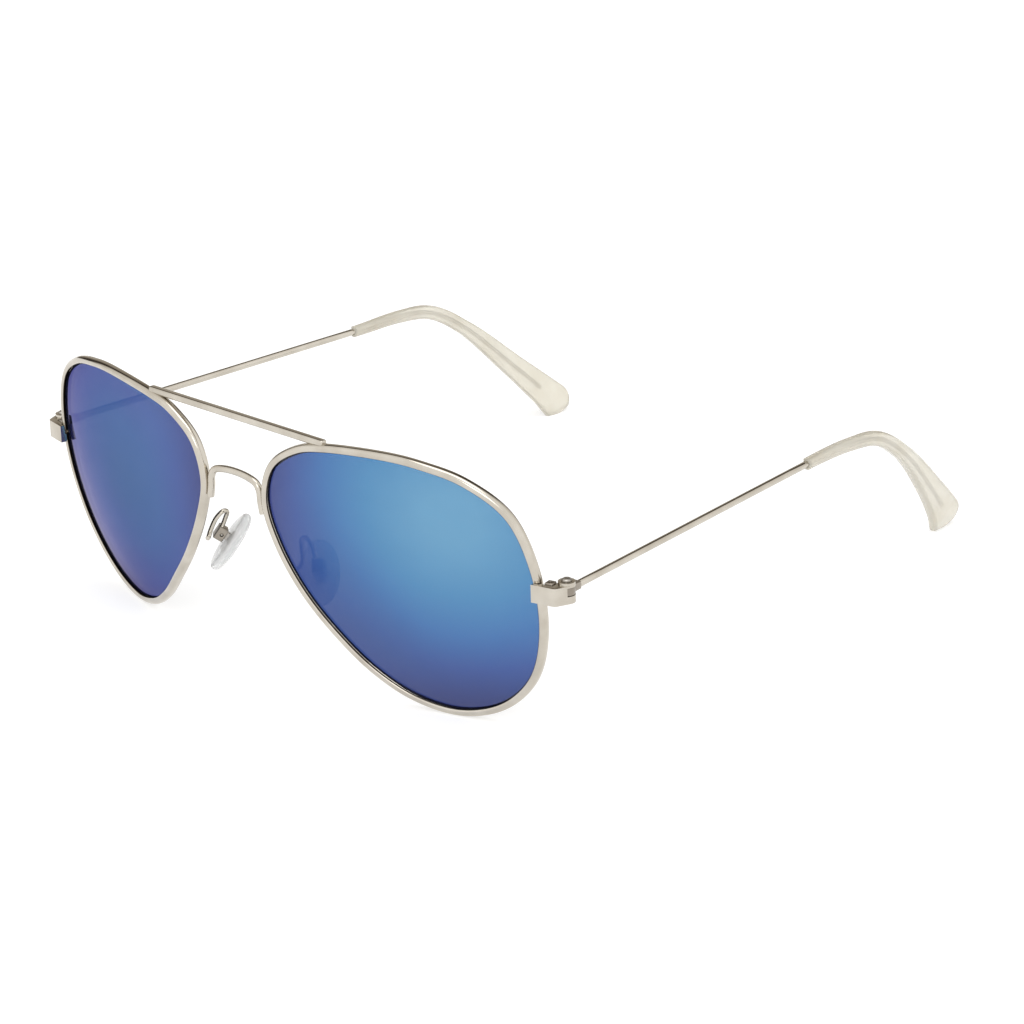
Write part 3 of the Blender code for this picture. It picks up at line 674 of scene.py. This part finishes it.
# %% Press the pads
PAD_PLACE = Vector((12.3, -64.3, 20.7)) * MM
PAD_UP = Vector((-0.40, 0.42, 0.81)).normalized()
PAD_FACING = Vector((-0.51, 0.63, -0.58))
PAD_SIZE = Vector((7.6, 13.0, 2.2)) * MM
PAD_DRAW = 2.2                # the sphere is this many times too thick before it is pressed
BACK_SHARE, NOSE_SHARE = 0.5, 0.55    # shares of the thickness behind and before the middle

outward = -(PAD_FACING - PAD_FACING.dot(PAD_UP) * PAD_UP).normalized()
turn = Matrix((PAD_UP.cross(outward), PAD_UP, outward)).transposed().to_4x4()
bpy.ops.object.select_all(action="DESELECT")
bpy.ops.mesh.primitive_uv_sphere_add(segments=32, ring_count=20, radius=0.5)
pad = bpy.context.object
pad.name = "soft_pad_left"
pad.scale = (PAD_SIZE.x, PAD_SIZE.y, PAD_SIZE.z * PAD_DRAW)
settle(pad)
for vertex in pad.data.vertices:
    limit = PAD_SIZE.z * (BACK_SHARE if vertex.co.z > 0 else NOSE_SHARE)
    vertex.co.z = limit * math.tanh(vertex.co.z / limit)
add_modifier(pad, "SUBSURF", levels=1, render_levels=1)
settle(pad, Matrix.Translation(PAD_PLACE) @ turn)
smooth(pad, 80)
pads = {"left": pad, "right": mirrored(pad, "soft_pad_right")}
for side in SIDES:
    dress(pads[side], f"pad_{side}", "pad", f"nose_pad_{side}")
print("pad:", len(pad.data.polygons), "faces")

# %% Loop the pad arms
ARM_RADIUS = 0.45 * MM
# From the rim's back to the pad box, in millimetres.
ARM_LINE = [
    (12.15, -70.2, 23.2), (12.35, -69.8, 23.3), (12.6, -68.95, 24.4), (11.7, -68.1, 26.9),
    (10.9, -67.0, 28.1), (11.0, -66.0, 27.7), (11.9, -65.7, 26.1), (12.72, -65.9, 24.26),
]

arm = wire("pad_arm_wire_left", [Vector(point) * MM for point in ARM_LINE], ARM_RADIUS, count=48)
arms = {"left": arm, "right": mirrored(arm, "pad_arm_wire_right")}
for side in SIDES:
    dress(arms[side], "front", "nickel", f"pad_arm_{side}")
print("arm:", len(arm.data.polygons), "faces")

# %% [markdown]
# ## Hinge, lock and pad fittings
#
# These are small machined and pressed parts whose shape the frame already holds. A stamped part
# has no knife edges, so each is copied, its loose triangles are merged, and its edges are rounded
# by 0.05 to 0.16 mm, about as much as tumbling and plating leave on a real one.

# %% Soften the edges of the small fittings
# Each fitting's body, finish, and rounding in millimetres.
FITTINGS = {
    "end_piece": ("front", "nickel", 0.16),
    "rim_lock_upper": ("front", "nickel", 0.10),
    "rim_lock_lower": ("front", "nickel", 0.10),
    "rim_lock_screw": ("front", "steel", 0.05),
    "hinge_screw": ("front", "steel", 0.07),
    "pad_box": ("front", "nickel", 0.12),
    "pad_screw": ("front", "steel", 0.05),
    "temple_hinge": ("temple", "nickel", 0.10),
    "pad_insert": ("pad", "steel", 0.06),
}


def softened(node, rounding):
    """A copy of a fitting with merged points and softened edges."""
    source = frame["nodes"][node]
    fitting = source.copy()
    fitting.data = source.data.copy()
    for key in list(fitting.keys()):
        del fitting[key]
    fitting.name = node + "_softened"
    fitting.parent = None
    fitting.matrix_world = Matrix.Identity(4)
    bpy.context.scene.collection.objects.link(fitting)
    in_edit_mode(
        fitting,
        lambda: bpy.ops.mesh.remove_doubles(threshold=WELD),
        lambda: bpy.ops.mesh.dissolve_limited(angle_limit=math.radians(1)),
    )
    add_modifier(fitting, "BEVEL", width=rounding * MM, segments=3, limit_method="ANGLE",
                 angle_limit=math.radians(40), use_clamp_overlap=True)
    return smooth(fitting, 35)


fittings = {}
for kind, (body, slot, rounding) in FITTINGS.items():
    for side in SIDES:
        node = f"{kind}_{side}"
        fittings[node] = softened(node, rounding)
        dress(fittings[node], body if body == "front" else f"{body}_{side}", slot, node)
print("fittings:", len(fittings))

# %% [markdown]
# ## Finishes
#
# Every finish is a small node tree on the Principled shader. Colours are given as sRGB hex values,
# and one function turns them to the linear values that a shader works in. One more function adds
# a node with its settings, its links and, for a colour ramp, its stops.

# %% Colour and node helpers
def linear(hex_colour):
    """An sRGB hex colour as linear red, green, blue and alpha."""
    channels = [int(hex_colour[i:i + 2], 16) / 255 for i in (1, 3, 5)]
    light = [c / 12.92 if c <= 0.04045 else ((c + 0.055) / 1.055) ** 2.4 for c in channels]
    return (*light, 1.0)


def add_node(tree, kind, values=None, links=None, stops=(), **settings):
    """A node with its own settings, socket values, incoming links and colour stops."""
    made = tree.nodes.new(kind)
    for name, value in settings.items():
        setattr(made, name, value)
    for socket, value in (values or {}).items():
        made.inputs[socket].default_value = value
    for socket, source in (links or {}).items():
        tree.links.new(source, made.inputs[socket])
    elements = made.color_ramp.elements if stops else []
    while len(elements) < len(stops):
        elements.new(0.5)
    for element, (place, colour) in zip(elements, stops):
        element.position = place
        element.color = linear(colour)
    return made


def new_finish(name, **constants):
    """A material whose Principled shader has these constant values."""
    finish = bpy.data.materials.new(name)
    finish.use_nodes = True
    shader = finish.node_tree.nodes["Principled BSDF"]
    for socket, value in constants.items():
        shader.inputs[socket.replace("_", " ")].default_value = value
    return finish, finish.node_tree, shader


print("white is", linear("#FFFFFF"))

# %% [markdown]
# ### Polished nickel plate
#
# The frame is nickel silver, polished and plated with bright nickel, which is a little warmer than
# chrome. It mirrors its surroundings in long light and dark bands. Polishing leaves very fine
# marks, and handling leaves faint smudges a few millimetres across that dull it.

# %% Make the metal finishes
SCRATCH_SIZE = 0.12 * MM      # drawn coarser than the real 0.02 mm so that it can show
SCRATCH_DEPTH = 0.004 * MM
SMUDGE_SIZE = 5 * MM


def polished_metal(name, light, dark, roughness, spread, bump):
    """Plated metal: smudged roughness, a slight change of colour, and fine polishing marks."""
    finish, tree, shader = new_finish(name, Metallic=1.0)
    place = add_node(tree, "ShaderNodeTexCoord").outputs["Object"]
    smudges = add_node(tree, "ShaderNodeTexNoise", {"Scale": 1 / SMUDGE_SIZE, "Detail": 4.0},
                       {"Vector": place}).outputs["Fac"]
    marks = add_node(tree, "ShaderNodeTexNoise", {"Scale": 1 / SCRATCH_SIZE, "Detail": 2.0},
                     {"Vector": place}).outputs["Fac"]
    colour = add_node(tree, "ShaderNodeValToRGB", links={"Fac": smudges},
                      stops=((0.3, dark), (0.7, light)))
    tree.links.new(colour.outputs["Color"], shader.inputs["Base Color"])
    rough = add_node(tree, "ShaderNodeMapRange",
                     {"From Min": 0.3, "From Max": 0.7, "To Min": roughness,
                      "To Max": roughness + spread}, {"Value": smudges})
    tree.links.new(rough.outputs["Result"], shader.inputs["Roughness"])
    relief = add_node(tree, "ShaderNodeBump", {"Strength": bump, "Distance": SCRATCH_DEPTH},
                      {"Height": marks})
    tree.links.new(relief.outputs["Normal"], shader.inputs["Normal"])
    return finish


bright_nickel = polished_metal("bright_nickel_plate", "#C8C2B7", "#B6AFA3", 0.08, 0.10, 0.25)
# Satin nickel is darker than the polished plate: painted shade, standing for the dark gaps in the
# locks, pad boxes and hinges.
satin_painted_shade = polished_metal("satin_plate_painted_shade", "#A39C91", "#877F75", 0.26, 0.12, 0.4)
screw_steel = polished_metal("turned_steel", "#B9B5AE", "#98938C", 0.24, 0.12, 0.5)
print("metals:", bright_nickel.name, satin_painted_shade.name, screw_steel.name)

# %% [markdown]
# ### Blue mirror coat and tinted lens
#
# The lens is tinted plastic with a coat of very thin clear layers on its front. The layers send
# back blue light and pass the rest, so the front looks like blue metal that can be seen through a
# little. Which blue depends on how thick the layers are and how aslant they are looked at: sky
# blue at the upper temple side of a lens that faces the viewer, navy towards the rim, and violet
# where it turns away. The darkening towards the rim and the bottom, and the darker violet, are
# partly painted reflection: they stand for the frame's own shadow and the dark surroundings seen
# in the mirror. So two patterns are mixed by the facing angle. The back has the plain tint.

# %% Make the lens finishes
# Each pattern's heart and reach in millimetres across and up, and its colours from the heart out;
# the darkest outer colours are partly painted reflection of shade.
COAT_SQUARE = {
    "heart": (50, 42), "spread": (51, 46),
    "colours": ((0.15, "#5D94B8"), (0.37, "#4681AE"), (0.55, "#3A6CA5"), (0.71, "#345192"),
                (0.86, "#283A74"), (1.0, "#1C2A56")),
}
COAT_ASLANT = {
    "heart": (37, 29), "spread": (40, 40),
    "colours": ((0.10, "#345F8F"), (0.38, "#385F95"), (0.58, "#405694"), (0.74, "#42477E"),
                (0.92, "#2E2F5C")),
}
SQUARE_UNTIL, ASLANT_FROM = 0.28, 0.5     # facing values: 0 is square on, 1 edge on
COAT_CLOUD_SIZE = 18 * MM     # of the patches where the layers lie thicker or thinner
COAT_CLOUD_SHIFT = 0.08       # how far they move the colours
TINT_STREAK_SIZE = 9 * MM
GRIT_SIZE = 0.5 * MM          # drawn coarser than the real 0.05 mm so that it can show


def coat_pattern(tree, place, side, heart, spread, colours):
    """Colours that run outwards from a heart, given in millimetres across and up."""
    centre = Vector((heart[0] if side == "left" else -heart[0], 0, heart[1])) * MM
    stretch = Vector((1 / spread[0], 0, 1 / spread[1])) / MM
    cloud = add_node(tree, "ShaderNodeTexNoise", {"Scale": 1 / COAT_CLOUD_SIZE, "Detail": 1.0},
                     {"Vector": place}).outputs["Fac"]
    offset = add_node(tree, "ShaderNodeVectorMath", {1: centre}, {0: place},
                      operation="SUBTRACT").outputs["Vector"]
    scaled = add_node(tree, "ShaderNodeVectorMath", {1: stretch}, {0: offset},
                      operation="MULTIPLY").outputs["Vector"]
    span = add_node(tree, "ShaderNodeVectorMath", links={0: scaled},
                    operation="LENGTH").outputs["Value"]
    broken = add_node(tree, "ShaderNodeMath", {1: COAT_CLOUD_SHIFT}, {0: cloud, 2: span},
                      operation="MULTIPLY_ADD").outputs["Value"]
    return add_node(tree, "ShaderNodeValToRGB", links={"Fac": broken},
                    stops=colours).outputs["Color"]


def mirror_coat(side):
    """The front of one lens: sky blue looked at squarely, violet aslant and towards the rim, where
    the darkening is partly painted reflection.
    """
    finish, tree, shader = new_finish(
        f"blue_mirror_coat_{side}", Metallic=0.92, Roughness=0.045, Alpha=0.90)
    shader.inputs["Specular Tint"].default_value = linear("#B8B4D4")
    place = add_node(tree, "ShaderNodeTexCoord").outputs["Object"]
    square = coat_pattern(tree, place, side, **COAT_SQUARE)
    aslant = coat_pattern(tree, place, side, **COAT_ASLANT)
    facing = add_node(tree, "ShaderNodeLayerWeight", {"Blend": 0.5}).outputs["Facing"]
    turned = add_node(tree, "ShaderNodeMapRange",
                      {"From Min": SQUARE_UNTIL, "From Max": ASLANT_FROM},
                      {"Value": facing}).outputs["Result"]
    # Inputs 6 and 7 and output 2 are the Mix node's colour sockets.
    colour = add_node(tree, "ShaderNodeMix", links={0: turned, 6: square, 7: aslant},
                      data_type="RGBA").outputs[2]
    tree.links.new(colour, shader.inputs["Base Color"])
    return finish


def lens_tint():
    """The back of a lens: dark blue-grey tint, faintly streaked, partly clear."""
    finish, tree, shader = new_finish("grey_lens_tint", Roughness=0.05, Alpha=0.55, IOR=1.5)
    place = add_node(tree, "ShaderNodeTexCoord").outputs["Object"]
    streaks = add_node(tree, "ShaderNodeTexNoise", {"Scale": 1 / TINT_STREAK_SIZE, "Detail": 2.0},
                       {"Vector": place}).outputs["Fac"]
    colour = add_node(tree, "ShaderNodeValToRGB", links={"Fac": streaks},
                      stops=((0.35, "#23262E"), (0.65, "#2E323C")))
    tree.links.new(colour.outputs["Color"], shader.inputs["Base Color"])
    return finish


def matt_dark(name, dark, light, roughness, metallic):
    """A dull dark surface with a fine uneven grain; both uses here are painted shade."""
    finish, tree, shader = new_finish(name, Roughness=roughness, Metallic=metallic)
    place = add_node(tree, "ShaderNodeTexCoord").outputs["Object"]
    grain = add_node(tree, "ShaderNodeTexNoise", {"Scale": 1 / GRIT_SIZE, "Detail": 3.0},
                     {"Vector": place}).outputs["Fac"]
    colour = add_node(tree, "ShaderNodeValToRGB", links={"Fac": grain},
                      stops=((0.35, dark), (0.65, light)))
    tree.links.new(colour.outputs["Color"], shader.inputs["Base Color"])
    return finish


coats = {side: mirror_coat(side) for side in SIDES}
tint = lens_tint()
# Painted shade: the lens's ground edge is dark to stand for the shade in the rim's groove round the
# lens.
ground_edge_painted_shade = matt_dark("ground_lens_edge_painted_shade", "#161826", "#20243A", 0.5, 0.0)
# Painted shade: the rim's groove wall is dark to stand for the shade and dark reflections inside
# the groove.
groove_painted_shade = matt_dark("groove_nickel_painted_shade", "#3E362F", "#50473D", 0.45, 1.0)
print("coats:", [coat.name for coat in coats.values()])

# %% [markdown]
# ### Cream tips and clear silicone
#
# The tips are cellulose acetate in translucent cream. Light enters and comes back out, so the
# plastic glows softly, its thin edges look paler, and the wire inside shows as a darker line. The
# pads are clear silicone: a little cloudy, with a satin surface that grips.

# %% Make the soft finishes
ACETATE_CLOUD_SIZE = 7 * MM
SILICONE_CLOUD_SIZE = 3 * MM
TUMBLING_GRAIN_SIZE = 0.4 * MM    # drawn coarser than the real 0.1 mm so that it can show
SKIN_RELIEF = 0.01 * MM


def cream_acetate():
    """Translucent cream plastic with faint clouds a few millimetres across."""
    finish, tree, shader = new_finish("cream_acetate", Roughness=0.22, IOR=1.48)
    shader.inputs["Transmission Weight"].default_value = 0.5
    shader.inputs["Coat Weight"].default_value = 0.5
    shader.inputs["Coat Roughness"].default_value = 0.08
    place = add_node(tree, "ShaderNodeTexCoord").outputs["Object"]
    clouds = add_node(tree, "ShaderNodeTexNoise", {"Scale": 1 / ACETATE_CLOUD_SIZE, "Detail": 3.0},
                      {"Vector": place}).outputs["Fac"]
    colour = add_node(tree, "ShaderNodeValToRGB", links={"Fac": clouds},
                      stops=((0.3, "#DED8C8"), (0.7, "#EAE6DA")))
    tree.links.new(colour.outputs["Color"], shader.inputs["Base Color"])
    grain = add_node(tree, "ShaderNodeTexNoise",
                     {"Scale": 1 / TUMBLING_GRAIN_SIZE, "Detail": 2.0},
                     {"Vector": place}).outputs["Fac"]
    relief = add_node(tree, "ShaderNodeBump", {"Strength": 0.12, "Distance": SKIN_RELIEF},
                      {"Height": grain})
    tree.links.new(relief.outputs["Normal"], shader.inputs["Normal"])
    return finish


def clear_silicone():
    """Clear, slightly cloudy silicone with a satin skin."""
    finish, tree, shader = new_finish("clear_silicone", Roughness=0.16, IOR=1.41)
    shader.inputs["Transmission Weight"].default_value = 0.5
    place = add_node(tree, "ShaderNodeTexCoord").outputs["Object"]
    clouds = add_node(tree, "ShaderNodeTexNoise",
                      {"Scale": 1 / SILICONE_CLOUD_SIZE, "Detail": 3.0},
                      {"Vector": place}).outputs["Fac"]
    colour = add_node(tree, "ShaderNodeValToRGB", links={"Fac": clouds},
                      stops=((0.3, "#F4F6F6"), (0.7, "#FFFFFF")))
    tree.links.new(colour.outputs["Color"], shader.inputs["Base Color"])
    relief = add_node(tree, "ShaderNodeBump", {"Strength": 0.1, "Distance": SKIN_RELIEF},
                      {"Height": clouds})
    tree.links.new(relief.outputs["Normal"], shader.inputs["Normal"])
    return finish


acetate = cream_acetate()
silicone = clear_silicone()
print("soft finishes:", acetate.name, silicone.name)

# %% [markdown]
# ## Put the finishes on
#
# The rims, wires, bars and end pieces are polished. The lock halves, pad boxes and hinge leaves
# are left satin, because the polishing wheel can't reach them, and their darker colour is painted
# shade, for the dark gaps in and round them. Screws and pad inserts are steel.

# %% Give each piece its finish
SATIN = ("rim_lock", "pad_box", "temple_hinge")


def finish_with(obj, *finishes):
    """Give an object these finishes in its material slots, keeping each face's slot."""
    slots = [face.material_index for face in obj.data.polygons]
    obj.data.materials.clear()
    for finish in finishes:
        obj.data.materials.append(finish)
    for face, index in zip(obj.data.polygons, slots):
        face.material_index = min(index, len(finishes) - 1)


for side in SIDES:
    finish_with(rims[side], bright_nickel, groove_painted_shade)
    for piece in (rods[side], arms[side]):
        finish_with(piece, bright_nickel)
    finish_with(lenses[side], coats[side], tint, ground_edge_painted_shade)
    finish_with(tips[side], acetate)
    finish_with(pads[side], silicone)
for piece in (arch, bar):
    finish_with(piece, bright_nickel)
for node, piece in fittings.items():
    if FITTINGS[node.rsplit("_", 1)[0]][1] == "steel":
        finish_with(piece, screw_steel)
    else:
        finish_with(piece, satin_painted_shade if node.startswith(SATIN) else bright_nickel)

# %% [markdown]
# ## Studio
#
# The floor is a sheet of white acrylic lit from below, which keeps shadows faint. Soft lights
# stand above and in front. The surroundings are white, apart from the side behind the object,
# which is grey with a dark ring round it. Polished metal shows nothing but what is around it, so
# that ring is what draws the fine dark lines along the wires.

# %% Floor
FLOOR_SIZE = 12
FLOOR_DROP = 0.02 * MM        # a hair below the table's height, so that nothing sinks in
FLOOR_GLOW = 0.55
FLOOR_CLOUD_SIZE = 25 * MM

bpy.ops.object.select_all(action="DESELECT")
bpy.ops.mesh.primitive_plane_add(size=FLOOR_SIZE, location=(0, 0, -FLOOR_DROP))
floor = bpy.context.object
floor.name = "studio_floor"
acrylic, tree, shader = new_finish(
    "lit_white_acrylic", Roughness=0.9, Emission_Strength=FLOOR_GLOW)
shader.inputs["Emission Color"].default_value = linear("#FFFFFF")
place = add_node(tree, "ShaderNodeTexCoord").outputs["Object"]
clouds = add_node(tree, "ShaderNodeTexNoise", {"Scale": 1 / FLOOR_CLOUD_SIZE, "Detail": 2.0},
                  {"Vector": place}).outputs["Fac"]
colour = add_node(tree, "ShaderNodeValToRGB", links={"Fac": clouds},
                  stops=((0.3, "#BEBEBE"), (0.7, "#C2C2C2")))
tree.links.new(colour.outputs["Color"], shader.inputs["Base Color"])
finish_with(floor, acrylic)
floor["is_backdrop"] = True
print("floor:", floor.name)

# %% Surroundings and soft lights
DARK_SIDE = Vector((-0.70, 0.71, 0.12))   # behind the object as the camera sees it
SURROUNDINGS_STRENGTH = 1.3

# How nearly a direction points to the dark side (0 is square to it or away, 1 straight at it),
# and the shade there: the ring lies 37 to 49 degrees round it.
SHADES = ((0.0, "#FFFFFF"), (0.54, "#E4E1DC"), (0.66, "#38322B"), (0.80, "#38322B"),
          (0.92, "#8E867B"), (1.0, "#A8A298"))

studio = bpy.data.worlds.new("studio")
bpy.context.scene.world = studio
studio.use_nodes = True
tree = studio.node_tree
backdrop = tree.nodes["Background"]
direction = add_node(tree, "ShaderNodeTexCoord").outputs["Generated"]
behind = add_node(tree, "ShaderNodeVectorMath", {1: DARK_SIDE}, {0: direction},
                  operation="DOT_PRODUCT").outputs["Value"]
shade = add_node(tree, "ShaderNodeValToRGB", links={"Fac": behind}, stops=SHADES)
tree.links.new(shade.outputs["Color"], backdrop.inputs["Color"])
backdrop.inputs["Strength"].default_value = SURROUNDINGS_STRENGTH


def soft_light(name, place, target, size, power):
    """A square soft light aimed at a point."""
    lamp = bpy.data.lights.new(name, "AREA")
    lamp.size = size
    lamp.energy = power
    obj = bpy.data.objects.new(name, lamp)
    bpy.context.scene.collection.objects.link(obj)
    obj.location = place
    obj.rotation_euler = (Vector(target) - Vector(place)).to_track_quat("-Z", "Y").to_euler()
    return obj


soft_light("overhead_light", place=(0.1, -0.2, 1.5), target=(0, 0, 0), size=1.0, power=5)
soft_light("front_light", place=(0.9, -1.6, 1.1), target=(0, 0, 0.02), size=0.7, power=3.3)
bpy.context.scene.view_settings.view_transform = "Standard"
print("lights ready")

# %% [markdown]
# The camera looks at the wearer's left side from the front, a little from above. It is placed by
# how it looks at the object: the direction it looks from, a slight roll, and its distance. A long
# lens from further away keeps both sides of the frame close in size.

# %% Camera
LOOK_AT = Vector((19.37, -20.1, 21.37)) * MM
AZIMUTH = math.radians(44.517)
ELEVATION = math.radians(21.225)
ROLL = math.radians(-1.754)
DISTANCE = 776.3 * MM
FOCAL_LENGTH = 142.02         # in millimetres, on a sensor of this width
SENSOR_WIDTH = 36
NEAREST = 0.01                # metres: nothing closer to the camera is drawn

camera_data = bpy.data.cameras.new("camera")
camera = bpy.data.objects.new("camera", camera_data)
bpy.context.scene.collection.objects.link(camera)
bpy.context.scene.camera = camera
camera_data.lens = FOCAL_LENGTH
camera_data.sensor_width = SENSOR_WIDTH
camera_data.clip_start = NEAREST
back = Vector((math.sin(AZIMUTH) * math.cos(ELEVATION),
               -math.cos(AZIMUTH) * math.cos(ELEVATION), math.sin(ELEVATION)))
right = (-back).cross(Vector((0, 0, 1))).normalized()
up = back.cross(right)
rolled_right = right * math.cos(ROLL) + up * math.sin(ROLL)
rolled_up = up * math.cos(ROLL) - right * math.sin(ROLL)
turned = Matrix((rolled_right, rolled_up, back)).transposed().to_4x4()
camera.matrix_world = Matrix.Translation(LOOK_AT + back * DISTANCE) @ turned
print("camera at", [round(c, 3) for c in camera.location])

# %% Measure both boxes and finish
low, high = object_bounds()
visual_size = [round(c / MM, 2) for c in high - low]
cad_size = [round(c / MM, 2) for c in cad_high - cad_low]
print("box", visual_size, "of", cad_size)
